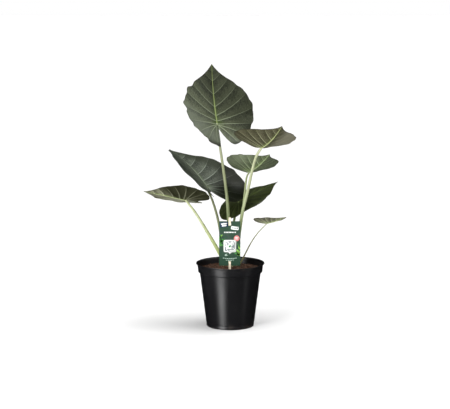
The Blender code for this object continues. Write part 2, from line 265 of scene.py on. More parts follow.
# %% [markdown]
# ## The pot
# A nursery pot is one thin injection moulding: a flared lip, a deep collar that stacks on the next
# pot, a tapering body and a foot band. Spinning a closed section would work, but the drainage slots
# are easier in a single skin: its faces are simply taken out, and a Solidify modifier then gives
# the wall its thickness, the rims of the slots included. A small Bevel rounds what is left sharp.

# %% Pot outline
pot_low, pot_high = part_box("pot")
POT_HEIGHT = pot_high.z
LIP_RADIUS = (pot_high.x - pot_low.x) / 2
POT_WALL = 1.6 * MM
COLLAR_TOP = LIP_RADIUS - 3.6 * MM
COLLAR_BOTTOM = COLLAR_TOP - 1.6 * MM
COLLAR_HEIGHT = 22 * MM
BODY_TOP = COLLAR_BOTTOM - 4.0 * MM
FOOT_RADIUS = 60 * MM
FOOT_BAND = 10 * MM
FOOT_BAND_RADIUS = FOOT_RADIUS - 0.8 * MM
FLOOR_RISE = 2.0 * MM
POT_STEPS = 192
SOIL_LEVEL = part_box("soil")[1].z

ledge = POT_HEIGHT - COLLAR_HEIGHT
# each run of points is given in mm from a corner of the wall's section
OUTLINE_RUNS = (
    (LIP_RADIUS, POT_HEIGHT, ((0, -1.5), (-1.5, -1.7), (-2.7, -2.3))),
    (COLLAR_TOP, POT_HEIGHT, ((0.2, -3.4), (0, -5.0))),
    (COLLAR_BOTTOM, ledge, ((0, 1.2), (-0.2, 0.4), (-0.8, 0))),
    (BODY_TOP, ledge, ((0.8, -0.1), (0.1, -0.7), (-0.1, -1.8))),
    (FOOT_RADIUS, FOOT_BAND, ((0.1, 0.8), (-0.1, 0.2))),
    (FOOT_BAND_RADIUS, FOOT_BAND, ((0.1, -0.3), (0, -0.9))),
    (FOOT_BAND_RADIUS, 0, ((0, 7.0), (0, 5.8), (0, 4.6), (0, 3.4), (0, 2.2), (-0.1, 1.1), (-0.5, 0.3))),
    (FOOT_BAND_RADIUS, 0, ((-1.3, 0), (-2.6, 0.1), (-3.4, 1.0))),
    (FOOT_BAND_RADIUS, FLOOR_RISE, ((-3.8, 0),)),
)
pot_outline = [(radius + out * MM, height + rise * MM)
               for radius, height, run in OUTLINE_RUNS for out, rise in run]
FLOOR_RINGS = 44
floor_start = FOOT_BAND_RADIUS - 5 * MM
pot_outline += [(floor_start * (1 - ring / FLOOR_RINGS), FLOOR_RISE) for ring in range(FLOOR_RINGS + 1)]
print("pot outline points:", len(pot_outline))


# %% Spin the skin and open the drainage
def weld(bm, distance):
    """Join the points that meet, and turn all faces to one side."""
    bmesh.ops.remove_doubles(bm, verts=bm.verts, dist=distance)
    bmesh.ops.recalc_face_normals(bm, faces=bm.faces)


def spun(outline, steps):
    """Spin (radius, height) points round the upright axis."""
    bm = bmesh.new()
    points = [bm.verts.new((radius, 0, height)) for radius, height in outline]
    edges = [bm.edges.new(pair) for pair in zip(points, points[1:])]
    bmesh.ops.spin(bm, geom=points + edges, cent=(0, 0, 0), axis=(0, 0, 1),
                   angle=math.tau, steps=steps, use_merge=True)
    weld(bm, 0.01 * MM)
    return bm


DRAIN_SLOT_WIDTH = 9 * MM
DRAIN_SLOT_BOTTOM, DRAIN_SLOT_TOP = 2.2 * MM, 7.0 * MM
DRAIN_SLOT_BEARINGS = (-41, 79, 199)
DRAIN_HOLE_RADIUS = 4.5 * MM
DRAIN_HOLE_RING = 32 * MM
DRAIN_HOLES = [Matrix.Rotation(math.tau * turn / 6, 3, "Z") @ Vector((DRAIN_HOLE_RING, 0, FLOOR_RISE))
               for turn in range(6)]


def in_drain_slot(point):
    """Whether a point of the wall lies in one of the drainage slots."""
    if not (DRAIN_SLOT_BOTTOM < point.z < DRAIN_SLOT_TOP and point.xy.length > FOOT_BAND_RADIUS - MM):
        return False
    for bearing in DRAIN_SLOT_BEARINGS:
        outward = Vector((math.cos(math.radians(bearing)), math.sin(math.radians(bearing))))
        aside = abs(point.x * outward.y - point.y * outward.x)
        if point.xy.dot(outward) > 0 and aside < DRAIN_SLOT_WIDTH / 2:
            return True
    return False


def in_drain_hole(point):
    return any((point - hole).length < DRAIN_HOLE_RADIUS for hole in DRAIN_HOLES)


# The skin is open at the top, so its faces come out of the spin looking into the pot.
pot_bm = spun(pot_outline, POT_STEPS)
bmesh.ops.reverse_faces(pot_bm, faces=pot_bm.faces)
open_faces = [face for face in pot_bm.faces
              if in_drain_slot(face.calc_center_median()) or in_drain_hole(face.calc_center_median())]
bmesh.ops.delete(pot_bm, geom=open_faces, context="FACES")
for vert in pot_bm.verts:
    for hole in DRAIN_HOLES:
        offset = vert.co - hole
        if vert.is_boundary and offset.length < DRAIN_HOLE_RADIUS * 1.4:
            vert.co = hole + offset.normalized() * DRAIN_HOLE_RADIUS
print("faces taken out for drainage:", len(open_faces))

# %% [markdown]
# ### Black plastic
# Recycled black polypropylene is never quite black: it has a faint cloudiness, a fine moulded grain
# that softens reflections, light scuffs, and a little dried peat near the rim and the foot.
# Everything reads the piece's own coordinates, so the marks stay put from every side.

# %% Pot finish
plastic = Finish("black_plastic", Metallic=0.0, Specular_IOR_Level=0.42)
haze = plastic.cloud(14.0, 4.0)
scuffs = plastic.remap(plastic.cloud((60.0, 60.0, 420.0), 4.0, 0.7), 0.62, 0.80)
height = plastic.axis(plastic.place, 2)
near_foot = plastic.remap(height, 0.0, 0.022, 1.0, 0.0)
near_lip = plastic.remap(height, 0.146, 0.157)
patches = plastic.remap(plastic.cloud(55.0, 5.0, 0.65), 0.50, 0.72)
dust = plastic.times(patches, plastic.calc("MAXIMUM", near_foot, plastic.times(near_lip, 0.7)))
plastic.start(haze, (0.0050, 0.0050, 0.0058), (0.0090, 0.0090, 0.0102))
plastic.lay((0.05, 0.05, 0.052), scuffs, 0.25)
plastic.lay((0.075, 0.055, 0.040), dust, 0.35)
gloss = plastic.remap(haze, 0.3, 0.7, 0.33, 0.40)
gloss = plastic.calc("ADD", gloss, plastic.times(dust, 0.25))
gloss = plastic.calc("ADD", gloss, plastic.times(scuffs, 0.08))
moulded = plastic.relief(plastic.cloud(900.0, 2.0), 0.03 * MM, 0.5)
drawn = plastic.relief(plastic.cloud((9.0, 9.0, 30.0), 2.0), 0.35 * MM, 0.4, moulded)
plastic.close(Roughness=gloss, Normal=drawn)

pot = make_object("pot_shell", pot_bm, [plastic])
wall = pot.modifiers.new("wall", "SOLIDIFY")
wall.thickness = POT_WALL
wall.offset = -1
wall.use_even_offset = True
rounding = pot.modifiers.new("rounding", "BEVEL")
rounding.width = 0.35 * MM
rounding.segments = 2
rounding.limit_method = "ANGLE"
rounding.angle_limit = math.radians(50)
hand_over(pot, "pot_plastic", "pot")

# %% [markdown]
# ## The peat
# Potting peat is a crumbly, fibrous surface, and it is heaped a little round the plant's crown. A
# displaced disc alone would look like cloth, so loose crumbs and bark chips are scattered over it.
# Each crumb is one small icosphere, squashed and turned, which keeps them cheap.

# %% Peat body
random.seed(7)
SOIL_EDGE = 78.4 * MM
HEAP_HEIGHT = 9.0 * MM
HEAP_INNER, HEAP_OUTER = 24 * MM, 58 * MM


def smooth_share(value, low, high):
    """0 below low, 1 above high, and a soft step between."""
    share = min(max((value - low) / (high - low), 0), 1)
    return share * share * (3 - 2 * share)


def soil_height(x, y):
    """The peat's surface: level by the wall, heaped in the middle, and lumpy all over."""
    radius = math.hypot(x, y)
    heap = HEAP_HEIGHT * (1 - smooth_share(radius, HEAP_INNER, HEAP_OUTER))
    coarse = noise.fractal(Vector((x, y, 0)) * 70, 1.0, 2.0, 3) * 1.6 * MM
    fine = noise.fractal(Vector((x, y, 4)) * 330, 0.8, 2.2, 3) * 0.7 * MM
    return SOIL_LEVEL + heap - 1.0 * MM + coarse + fine


SOIL_RINGS = 60
soil_outline = [(SOIL_EDGE * ring / SOIL_RINGS, SOIL_LEVEL) for ring in range(SOIL_RINGS + 1)]
soil_outline += [(77.2 * MM, ledge + 1.9 * MM), (73.2 * MM, ledge - 2.4 * MM), (57.6 * MM, 11 * MM),
                 (56.6 * MM, 4.6 * MM), (0, 4.6 * MM)]
soil_bm = spun(soil_outline, 180)
for vert in soil_bm.verts:
    if vert.co.z > SOIL_LEVEL - 0.1 * MM:
        vert.co.z = soil_height(vert.co.x, vert.co.y)
print("peat faces:", len(soil_bm.faces))

# %% Peat finish
peat = Finish("peat", Roughness=0.95, Specular_IOR_Level=0.15)
crumbs = peat.cloud(260.0, 4.0, 0.6)
fibres = peat.remap(peat.cloud((900.0, 160.0, 300.0)), 0.60, 0.72)
peat.start(peat.remap(crumbs, 0.35, 0.65), (0.048, 0.028, 0.020), (0.165, 0.095, 0.066))
peat.lay((0.075, 0.032, 0.018), peat.remap(peat.cloud(60.0), 0.4, 0.7, 0.0, 0.6))
peat.lay((0.22, 0.12, 0.065), fibres, 0.5)
peat.close(Normal=peat.relief(crumbs, 1.2 * MM, 0.9))
hand_over(make_object("peat_body", soil_bm, [peat]), "soil_peat", "soil")


# %% Loose crumbs and chips
def stamp(bm, shape, matrix, material=0):
    """Copy a small shape into a bmesh at a place."""
    first_face = len(bm.faces)
    mesh = bpy.data.meshes.new("stamp")
    shape.to_mesh(mesh)
    mesh.transform(matrix)
    bm.from_mesh(mesh)
    bpy.data.meshes.remove(mesh)
    bm.faces.ensure_lookup_table()
    for face in bm.faces[first_face:]:
        face.material_index = material
        face.smooth = True


def random_turn():
    return Euler([random.uniform(0, math.tau) for _ in range(3)]).to_matrix().to_4x4()


def scatter_place(reach, start=0.0):
    """A random place on the peat, evenly spread over its area."""
    radius = math.sqrt(random.uniform((start / reach) ** 2, 1)) * reach
    bearing = random.uniform(0, math.tau)
    x, y = radius * math.cos(bearing), radius * math.sin(bearing)
    return Vector((x, y, soil_height(x, y)))


crumb_shape = bmesh.new()
bmesh.ops.create_icosphere(crumb_shape, subdivisions=1, radius=1)
chip_shape = bmesh.new()
bmesh.ops.create_cube(chip_shape, size=1)
bmesh.ops.bevel(chip_shape, geom=chip_shape.edges[:], offset=0.16, affect="EDGES", segments=1,
                profile=0.5, material=-1)

LOOSE_CRUMBS, LOOSE_CHIPS = 2200, 90
loose_bm = bmesh.new()
for _ in range(LOOSE_CRUMBS):
    grain_size = random.choice((0.5, 0.7, 0.9, 1.3, 1.9)) * random.uniform(0.7, 1.3) * MM
    spot = scatter_place(SOIL_EDGE - 1.5 * MM) + Vector((0, 0, grain_size * 0.2))
    squash = Matrix.Diagonal((grain_size, grain_size * random.uniform(0.5, 1), grain_size * 0.7, 1))
    stamp(loose_bm, crumb_shape, Matrix.Translation(spot) @ random_turn() @ squash)
for _ in range(LOOSE_CHIPS):
    spot = scatter_place(SOIL_EDGE - 5 * MM, 12 * MM) + Vector((0, 0, 0.5 * MM))
    length = random.uniform(3, 7.5) * MM
    size = Matrix.Diagonal((length, length * random.uniform(0.3, 0.6), random.uniform(0.7, 1.5) * MM, 1))
    lean = Euler((random.uniform(-0.4, 0.4), random.uniform(-0.4, 0.4), random.uniform(0, math.tau)))
    stamp(loose_bm, chip_shape, Matrix.Translation(spot) @ lean.to_matrix().to_4x4() @ size)
hand_over(make_object("peat_crumbs", loose_bm, [peat], smooth=False), "soil_peat")
crumb_shape.free()
chip_shape.free()

# %% [markdown]
# ## The crown
# Where the stalks meet, an alocasia has a short thick stem wrapped in the dried bases of old leaves.
# The stem is a spun knob with ridges pushed into it. Each dried sheath is a grid bent round the
# stem and drawn to a ragged point, because such papery bits look wrong as anything but thin sheets.

# %% Stem knob
stem = Finish("stem_skin", Roughness=0.62)
streaks = stem.cloud((260.0, 260.0, 40.0), 4.0, 0.6)
scars = stem.remap(stem.cloud((60.0, 60.0, 300.0)), 0.52, 0.66)
stem.start(streaks, (0.16, 0.16, 0.06), (0.36, 0.33, 0.15))
stem.lay((0.12, 0.07, 0.035), scars, 0.7)
stem.close(Normal=stem.relief(streaks, 0.8 * MM, 0.8))

crown_low, crown_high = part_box("crown")
CROWN_RADIUS = (crown_high.x - crown_low.x) / 2
CROWN_TOP = crown_high.z
# radius, and height over the crown's CAD top, in mm
knob_outline = ((0, 11), (7, 10.4), (12, 8), (16, 3.5), (18.5, -2), (19, -9), (17, -17), (11, -24), (0, -26))
knob_bm = spun([(radius * MM, CROWN_TOP + height * MM) for radius, height in knob_outline], 72)
bmesh.ops.subdivide_edges(knob_bm, edges=knob_bm.edges[:], cuts=1, use_grid_fill=True, smooth=1.0)
for vert in knob_bm.verts:
    bearing = math.atan2(vert.co.y, vert.co.x)
    ridge = 0.06 * math.sin(9 * bearing + 40 * vert.co.z) + 0.05 * noise.noise(vert.co * 120)
    vert.co.x *= 1 + ridge
    vert.co.y *= 1 + ridge
hand_over(make_object("crown_knob", knob_bm, [stem]), "crown_sheath", "crown")

# %% Dried sheaths
paper = Finish("dried_sheath", Roughness=0.75)
veins = paper.cloud((520.0, 520.0, 30.0), 3.0, 0.6)
stains = paper.cloud(90.0, 4.0, 0.6)
paper.start(veins, (0.17, 0.095, 0.045), (0.42, 0.29, 0.16))
paper.lay((0.085, 0.045, 0.022), paper.remap(stains, 0.45, 0.7, 0.0, 0.8))
paper.close(Normal=paper.relief(veins, 0.4 * MM, 0.8))

# bearing in degrees, rise in mm, and how far the sheath spreads to each side in degrees
SHEATHS = (
    (35, 24, 34), (80, 17, 40), (132, 27, 36), (185, 15, 42), (245, 19, 38), (300, 13, 36), (338, 22, 34),
)
sheath_bm = bmesh.new()
for bearing, rise, spread in SHEATHS:
    shape = bmesh.new()
    bmesh.ops.create_grid(shape, x_segments=18, y_segments=16, size=1)
    for vert in shape.verts:
        side, climb = vert.co.x, (vert.co.y + 1) / 2
        point_width = (1 - climb ** 2.2) * (1 + 0.15 * noise.noise(Vector((bearing, climb * 6, 0)))) + 0.03
        around = math.radians(bearing + spread * side * point_width)
        crumple = noise.noise(vert.co * 3) * 0.8
        radius = (20.5 - 3.0 * climb + 5 * climb ** 3 + 1.2 * side ** 2 + crumple) * MM
        vert.co = (radius * math.cos(around), radius * math.sin(around), CROWN_TOP + (rise * climb - 8) * MM)
    bmesh.ops.recalc_face_normals(shape, faces=shape.faces)
    bmesh.ops.solidify(shape, geom=shape.faces[:], thickness=0.35 * MM)
    stamp(sheath_bm, shape, Matrix())
    shape.free()
hand_over(make_object("crown_sheaths", sheath_bm, [paper]), "crown_sheath")

# %% [markdown]
# ## The picture card and its stake
# The card is a laminated print with two slots for a flat wooden stake. Its CAD plate already has the
# true shape, so it stays and only gets a finish: a deep green ground that fades to a lighter foot.
# The print is drawn as very thin layers of ink on it, so that every edge is crisp from near by.
# All of it is plain ornament (labels, dashes, a mosaic, sprigs of leaves), with nothing to read.

# %% Card finish
card_low, card_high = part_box("picture_card")
CARD_WIDTH = card_high.x - card_low.x
CARD_HEIGHT = card_high.z - card_low.z
FOOT_LINE = card_low.z + 22.5 * MM

card = Finish("card_laminate", Roughness=0.38, Coat_Weight=0.25, Coat_Roughness=0.25)
height = card.axis(card.place, 2)
foot = card.remap(height, FOOT_LINE + 0.3 * MM, FOOT_LINE - 0.3 * MM)
haze = card.remap(card.cloud((70.0, 1.0, 60.0), 2.0), 0.45, 0.75, 0.0, 0.55)
band = card.times(card.remap(height, card_low.z + 60 * MM, card_low.z + 72 * MM),
                  card.remap(height, card_low.z + 84 * MM, card_low.z + 76 * MM))
fibre = card.cloud(1400.0, 2.0)
card.start(card.cloud((45.0, 1.0, 28.0)), (0.009, 0.038, 0.018), (0.023, 0.072, 0.037))
card.lay((0.10, 0.085, 0.11), haze, band)
card.lay((0.008, 0.045, 0.020), foot)
card.lay((0.10, 0.20, 0.15), fibre, 0.10)
card.close(Normal=card.relief(fibre, 0.02 * MM, 0.4))
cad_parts["picture_card"].material_slots[0].material = card.material
print("card", round(CARD_WIDTH / MM, 1), "by", round(CARD_HEIGHT / MM, 1), "mm")

# %% Printed inks
INKS = {
    "navy": (0.012, 0.030, 0.075),
    "white": (0.78, 0.80, 0.78),
    "pale": (0.42, 0.56, 0.47),
    "pink": (0.72, 0.23, 0.22),
    "leaf": (0.055, 0.23, 0.045),
    "lime": (0.25, 0.50, 0.085),
    "dark": (0.030, 0.085, 0.085),
}
ink_finishes = []
for name, tone in INKS.items():
    finish = Finish("ink_" + name, Roughness=0.42)
    finish.start(finish.cloud(700.0, 2.0), tone, [min(value * 1.18, 1) for value in tone])
    finish.close()
    ink_finishes.append(finish)
ink_numbers = {name: number for number, name in enumerate(INKS)}
INK_LAYER = 0.05 * MM
INK_LIFT = 0.01 * MM            # keeps the lowest ink off the card's own face
print_bm = bmesh.new()


def ink(shape, name, x, down, layer=1, turn=0.0):
    """Lay a flat shape, drawn in millimetres, on the card: x from its left edge, and down from its top."""
    made = bmesh.ops.extrude_face_region(shape, geom=shape.faces[:])
    raised = [item for item in made["geom"] if isinstance(item, bmesh.types.BMVert)]
    bmesh.ops.translate(shape, vec=(0, 0, layer * INK_LAYER / MM), verts=raised)
    bmesh.ops.recalc_face_normals(shape, faces=shape.faces)
    spot = Vector((card_low.x + x * MM, card_low.y + INK_LIFT, card_high.z - down * MM))
    upright = Matrix.Rotation(math.radians(90), 4, "X") @ Matrix.Rotation(math.radians(turn), 4, "Z")
    stamp(print_bm, shape, Matrix.Translation(spot) @ upright @ Matrix.Scale(MM, 4), ink_numbers[name])
    shape.free()


def label_shape(width, height, corner):
    """A rounded rectangle."""
    shape = bmesh.new()
    bmesh.ops.create_grid(shape, x_segments=1, y_segments=1, size=0.5)
    bmesh.ops.scale(shape, vec=(width, height, 1), verts=shape.verts)
    if corner:
        bmesh.ops.bevel(shape, geom=shape.verts[:], offset=corner, affect="VERTICES", segments=6,
                        profile=0.5, material=-1)
    return shape


def sprig_shape(length, width):
    """A pointed leaf, lying from its stalk at the origin towards +X."""
    shape = bmesh.new()
    bmesh.ops.create_circle(shape, cap_ends=True, segments=24, radius=0.5)
    for vert in shape.verts:
        run = vert.co.x + 0.5
        vert.co = (run * length, vert.co.y * width * (1 - 0.75 * run ** 2), 0)
    return shape


def disc_shape(radius):
    shape = bmesh.new()
    bmesh.ops.create_circle(shape, cap_ends=True, segments=40, radius=radius)
    return shape


print("inks:", ", ".join(INKS))

# %% Print the card
ink(label_shape(19.6, 12.0, 1.6), "navy", 12.2, 8.6, turn=6)
ink(label_shape(14.5, 3.4, 1.2), "white", 11.9, 6.6, layer=2, turn=6)
ink(label_shape(12.0, 2.8, 1.2), "white", 12.6, 11.2, layer=2, turn=6)
ink(label_shape(19.0, 8.0, 2.2), "white", 38.6, 17.2, turn=-8)
for number in range(4):
    ink(label_shape(2.6, 2.4, 0.7), "dark", 32.9 + 3.8 * number, 16.5 + 0.5 * number, layer=2, turn=-8)
for number in range(8):
    ink(label_shape(2.9 if number % 3 else 2.2, 3.0, 0.5), "white", 13.4 + 3.75 * number, 27.6)
ink(disc_shape(7.0), "pink", 43.2, 42.5)
ink(label_shape(8.4, 1.3, 0.5), "white", 43.2, 41.0, layer=2)
ink(label_shape(6.4, 1.3, 0.5), "white", 43.2, 44.2, layer=2)

# ink, place of the stalk's end, length, width and turn
SPRIGS = (
    ("leaf", 1.2, 58, 17, 6.5, 62), ("leaf", 1.0, 52, 15, 6.0, 30), ("leaf", 1.0, 47, 16, 6.0, 76),
    ("lime", 1.4, 41, 11, 4.6, 48), ("leaf", 1.0, 60, 12, 5.0, 8),
    ("lime", 50.8, 86, 15, 5.2, 122), ("lime", 51.2, 78, 14, 5.0, 140), ("lime", 50.6, 70, 12, 4.6, 108),
    ("leaf", 51.0, 84, 17, 5.0, 158), ("lime", 44.5, 85, 12, 4.2, 78), ("leaf", 51.0, 64, 10, 4.2, 128),
)
for name, x, down, length, width, turn in SPRIGS:
    ink(sprig_shape(length, width), name, x, down, turn=turn)

MOSAIC_X, MOSAIC_DOWN = 26.4, 61.7
MOSAIC_HALF = 4                 # cells on each side of the middle one
MOSAIC_PITCH = 2.65
MOSAIC_GAPS = 0.42              # share of the cells left white
ink(label_shape(30.6, 30.3, 3.6), "white", MOSAIC_X, MOSAIC_DOWN, layer=2)
ink(label_shape(5.6, 5.6, 0), "white", MOSAIC_X, 77.4, layer=2, turn=45)
random.seed(31)
for row in range(-MOSAIC_HALF, MOSAIC_HALF + 1):
    for column in range(-MOSAIC_HALF, MOSAIC_HALF + 1):
        if max(abs(row), abs(column)) <= 1 or random.random() < MOSAIC_GAPS:
            continue
        ink(label_shape(2.3, 2.3, 0.6), random.choice(("navy", "dark")),
            MOSAIC_X + column * MOSAIC_PITCH, MOSAIC_DOWN + row * MOSAIC_PITCH, layer=3)
ink(disc_shape(3.7), "pale", MOSAIC_X, MOSAIC_DOWN, layer=3)
ink(sprig_shape(6.0, 4.0), "leaf", 23.9, 63.9, layer=4, turn=42)
ink(sprig_shape(8.0, 3.4), "pale", 14.0, 85.2, turn=38)
ink(sprig_shape(6.0, 2.8), "pale", 15.0, 85.6, turn=8)
for number in range(7):
    aside = (number - 3) / 3
    down = 91.6 + 0.9 * (1 - aside ** 2)
    ink(label_shape(4.2, 1.5, 0.5), "pale", 11.4 + 5.0 * number, down, turn=3 * aside)
for number in range(4):
    aside = (number - 1.5) / 1.5
    ink(label_shape(4.4, 1.5, 0.5), "pale", 18.7 + 5.2 * number, 96.4 + 0.5 * (1 - aside ** 2))
hand_over(make_object("card_print", print_bm, ink_finishes, smooth=False), "card_print")

# %% Stake finish
wood = Finish("stake_birch", Roughness=0.6)
figure = wood.cloud((900.0, 900.0, 24.0), 4.0, 0.65)
flecks = wood.remap(wood.cloud((2400.0, 2400.0, 160.0), 2.0), 0.60, 0.72)
height = wood.axis(wood.place, 2)
damp = wood.remap(height, SOIL_LEVEL - 2 * MM, SOIL_LEVEL + 7 * MM, 0.75, 0.0)
wood.start(figure, (0.62, 0.52, 0.36), (0.86, 0.79, 0.64))
wood.lay((0.42, 0.30, 0.17), flecks, 0.35)
wood.lay((0.26, 0.17, 0.09), damp)
wood.close(Normal=wood.relief(figure, 0.08 * MM, 0.6))
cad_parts["card_stake"].material_slots[0].material = wood.material
print("stake finish ready")

# %% [markdown]
# ## The leaves in numbers
# Each leaf is described the way a botanical draughtsman would: where its hub is, which way the tip
# points, how long it is, how its two halves fold, and how it arches. The rows are those of the CAD
# model, so that every blade lies where its working solid lies.

# %% Leaf table
# hub        where stalk and blade meet: x, y and height over the soil, in mm
# bearing    compass direction of the tip, from +X towards +Y, in degrees
# rise, roll how far the tip points above level, and the turn about the midrib
# length     hub to tip in mm;  width and lobes scale the two other measures of the outline
# fold       how far the left and right halves lift from flat
# curl, arch, lobe_lift   bend across a half, along the midrib, and along the back lobes (1/m)
# twist      turn along the midrib (degrees per 100 mm);  waist draws in the outline's sides
# seat       where the stalk stands on the crown: bearing, and share of the room there
# thick      stalk radius at the crown and at the hub, in mm
# wave       how far the margin waves, in mm;  ripple scallops the outline on its left and right
# notch      the back notch: its bearing, half width, and depth as a share of the radius there
# ways       points that the stalk passes: x, y and height over the soil, in mm
Leaf = namedtuple("Leaf", "name hub bearing rise roll length width lobes fold curl arch lobe_lift twist "
                          "waist seat thick wave ripple notch ways")
LEAVES = (
    Leaf("top", (-32, -8, 359), 107, 59, -11, 158, 0.98, 1.01, (18, 18), -0.6, 1.8, 3.2, 8.6,
         0.06, (0, 0), (6.2, 2.6), 1.8, (0.022, 0.010), (168, 12, 0.733),
         ((-5, -4, 140), (-12, -6, 211), (-24, -8, 297))),
    Leaf("high_right", (74, -60, 309), -69, 14, 11, 129, 0.98, 0.94, (15, 18), 0.9, 4.1, 3.8, -3.4,
         -0.02, (-22, 0.84), (5.4, 2.9), 1.2, (0.008, 0.008), (180, 26, 0.733),
         ((28, -19, 135), (42, -32, 198), (59, -51, 277))),
    Leaf("mid_right", (47, 55, 235), -64, 18, 14, 114, 0.98, 0.97, (21, 21), 0.2, 3.4, 4.3, -2.9,
         -0.03, (52, 0.82), (4.2, 2.1), 1.2, (0.008, 0.008), (180, 26, 0.733),
         ((25, 17, 104), (34, 28, 168), (40, 46, 218))),
    Leaf("broad_left", (-56, 30, 198), 123, 34, -17, 181, 1.02, 1.02, (21, 19), -0.7, -1.6, 3.5, 1.1,
         -0.02, (160, 0.80), (4.8, 2.5), 1.6, (0.010, 0.012), (180, 20, 0.733),
         ((-27, 15, 104), (-42, 26, 160))),
    Leaf("low_left", (-108, -15, 175), 199, 13, -11, 114, 1.00, 1.16, (21, -1), -0.2, 0.1, 1.1, -3.4,
         -0.05, (218, 0.95), (6.4, 2.7), 1.2, (0.008, 0.008), (180, 20, 0.45),
         ((-30, -11, 48), (-62, -13, 104), (-86, -15, 143))),
    Leaf("back", (20, 95, 152), 20, 26, -3, 120, 1.02, 1.16, (-3, -3), -0.1, -0.7, -11.0, 2.9,
         0.0, (106, 0.80), (4.8, 2.6), 1.0, (0.008, 0.008), (180, 10, 0.0), ((3, 45, 70), (12, 74, 120))),
    Leaf("small_right", (90, 10, 112), -48, 14, 12, 72, 0.97, 0.94, (16, 14), -1.0, 3.0, 6.6, -12.6,
         0.02, (11, 0.98), (2.4, 1.2), 0.7, (0.008, 0.008), (180, 26, 0.733),
         ((27, 4, 17), (52, 6, 65), (69, 8, 89))),
)
print("leaves:", ", ".join(leaf.name for leaf in LEAVES))


# %% Outline of a blade
FOLD_SOFTENING = 3.0 * MM       # over this width the fold at the midrib is rounded
NOTCH_EASE, NOTCH_SPREAD = 0.10, 1.7    # how the corners of the back notch are rounded
SCALLOPS = ((17, 1.0), (28, 0.6))       # the margin's two sets of scallops: how many, and how deep


def over_soil(point):
    """A point given in millimetres over the soil, in metres over the floor."""
    x, y, height = point
    return Vector((x * MM, y * MM, SOIL_LEVEL + height * MM))


def leaf_axes(leaf):
    """Directions across a blade to its right, along it to its tip, and out of its upper side."""
    bearing, rise, roll = (math.radians(angle) for angle in (leaf.bearing, leaf.rise, leaf.roll))
    level = Vector((math.cos(bearing), math.sin(bearing), 0))
    tip = level * math.cos(rise) + UP * math.sin(rise)
    up = -level * math.sin(rise) + UP * math.cos(rise)
    across = tip.cross(up)
    return across * math.cos(roll) + up * math.sin(roll), tip, up * math.cos(roll) - across * math.sin(roll)


def outline_radius(leaf, angle):
    """Hub to margin at an angle from the tip, as a share of the blade's length."""
    degrees = abs(math.degrees(angle))
    rounded = 0.60 + 0.17 * math.cos(angle) + 0.23 * math.exp(-degrees / 9)
    notch_bearing, notch_width, notch_depth = leaf.notch
    from_notch = abs((math.degrees(angle) - notch_bearing + 180) % 360 - 180)
    notch = 1 - notch_depth * math.exp(-(from_notch / notch_width) ** 3.5)
    notch -= NOTCH_EASE * notch_depth * math.exp(-(from_notch / (NOTCH_SPREAD * notch_width)) ** 4)
    sides = 1 - leaf.waist * math.exp(-((degrees - 110) / 32) ** 2)
    ripple = leaf.ripple[1] if angle > 0 else leaf.ripple[0]
    calm = smooth_share(degrees, 12, 40) * smooth_share(180 - degrees, 10, 50)
    (many, deep), (more, shallow) = SCALLOPS
    wave = deep * math.sin(many * angle + leaf.roll) + shallow * math.sin(more * angle + leaf.rise)
    return rounded * notch * sides * (1 + ripple * calm * wave)


def flat_place(leaf, angle, share):
    """Where a point of the blade would lie if it were pressed flat: across and along, in metres."""
    reach = outline_radius(leaf, angle) * share * leaf.length * MM
    along = math.cos(angle) * reach
    return math.sin(angle) * reach * leaf.width, along * leaf.lobes if along < 0 else along


# %% Bend of a blade
def arc_run_rise(distance, slope, curvature):
    """How far a line runs and rises when it starts at a slope and bends evenly."""
    if abs(curvature) < 1e-6:
        return distance * math.cos(slope), distance * math.sin(slope)
    end = slope + curvature * distance
    return (math.sin(end) - math.sin(slope)) / curvature, (math.cos(slope) - math.cos(end)) / curvature


def bent_place(leaf, axes, across, along):
    """The same point on the blade's folded and arched middle surface."""
    fold = math.radians(leaf.fold[1] if across > 0 else leaf.fold[0])
    distance = abs(across)
    run, lift = arc_run_rise(distance, fold, leaf.curl)
    if distance > 0:
        lift *= (math.hypot(distance, FOLD_SOFTENING) - FOLD_SOFTENING) / distance
    run = math.copysign(run, across)
    turn = math.radians(leaf.twist) * along / (100 * MM)
    side = run * math.cos(turn) - lift * math.sin(turn)
    height = run * math.sin(turn) + lift * math.cos(turn)
    bend = leaf.arch if along > 0 else leaf.lobe_lift
    forward, up = arc_run_rise(along, 0, bend)
    slope = bend * along
    axis_across, axis_tip, axis_up = axes
    return (over_soil(leaf.hub) + axis_across * side
            + axis_tip * (forward - height * math.sin(slope))
            + axis_up * (up + height * math.cos(slope)))


def blade_normal(leaf, axes, across, along):
    """The direction out of the upper side at a point of the blade."""
    step = 0.5 * MM
    sideways = bent_place(leaf, axes, across + step, along) - bent_place(leaf, axes, across - step, along)
    lengthways = bent_place(leaf, axes, across, along + step) - bent_place(leaf, axes, across, along - step)
    return sideways.cross(lengthways).normalized()


# %% [markdown]
# ## Veins
# An alocasia's side veins leave the midrib at an angle and sweep forward to the margin; the lowest
# ones fan out from the hub into the back lobes. Each vein is named by where it starts on the
# midrib and the angle at which it meets the margin. Every point of the blade then gets two
# numbers: which veins it lies between, and how far apart those two are. The surface can swell
# between the veins with them, and the finish can draw each vein at its own width.

# %% Vein table
# start on the midrib as a share of the length, and angle of the end from the tip in degrees
VEINS = ((0.88, 4), (0.73, 9), (0.51, 18), (0.30, 31), (0.15, 47), (0.06, 68), (0.01, 92),
         (0.0, 117), (0.0, 141), (0.0, 162))
VEIN_BOW = 0.40                 # how much the veins sweep forward
EDGE_SPACING = 10 * MM          # stands for the spacing beyond the first and the last vein


def vein_lines(leaf):
    """Each vein as its start along the midrib and the flat place of its end."""
    lines = []
    for start, end_angle in VEINS:
        end_across, end_along = flat_place(leaf, math.radians(end_angle), 1)
        lines.append((start * leaf.length * MM, end_across, end_along))
    return lines


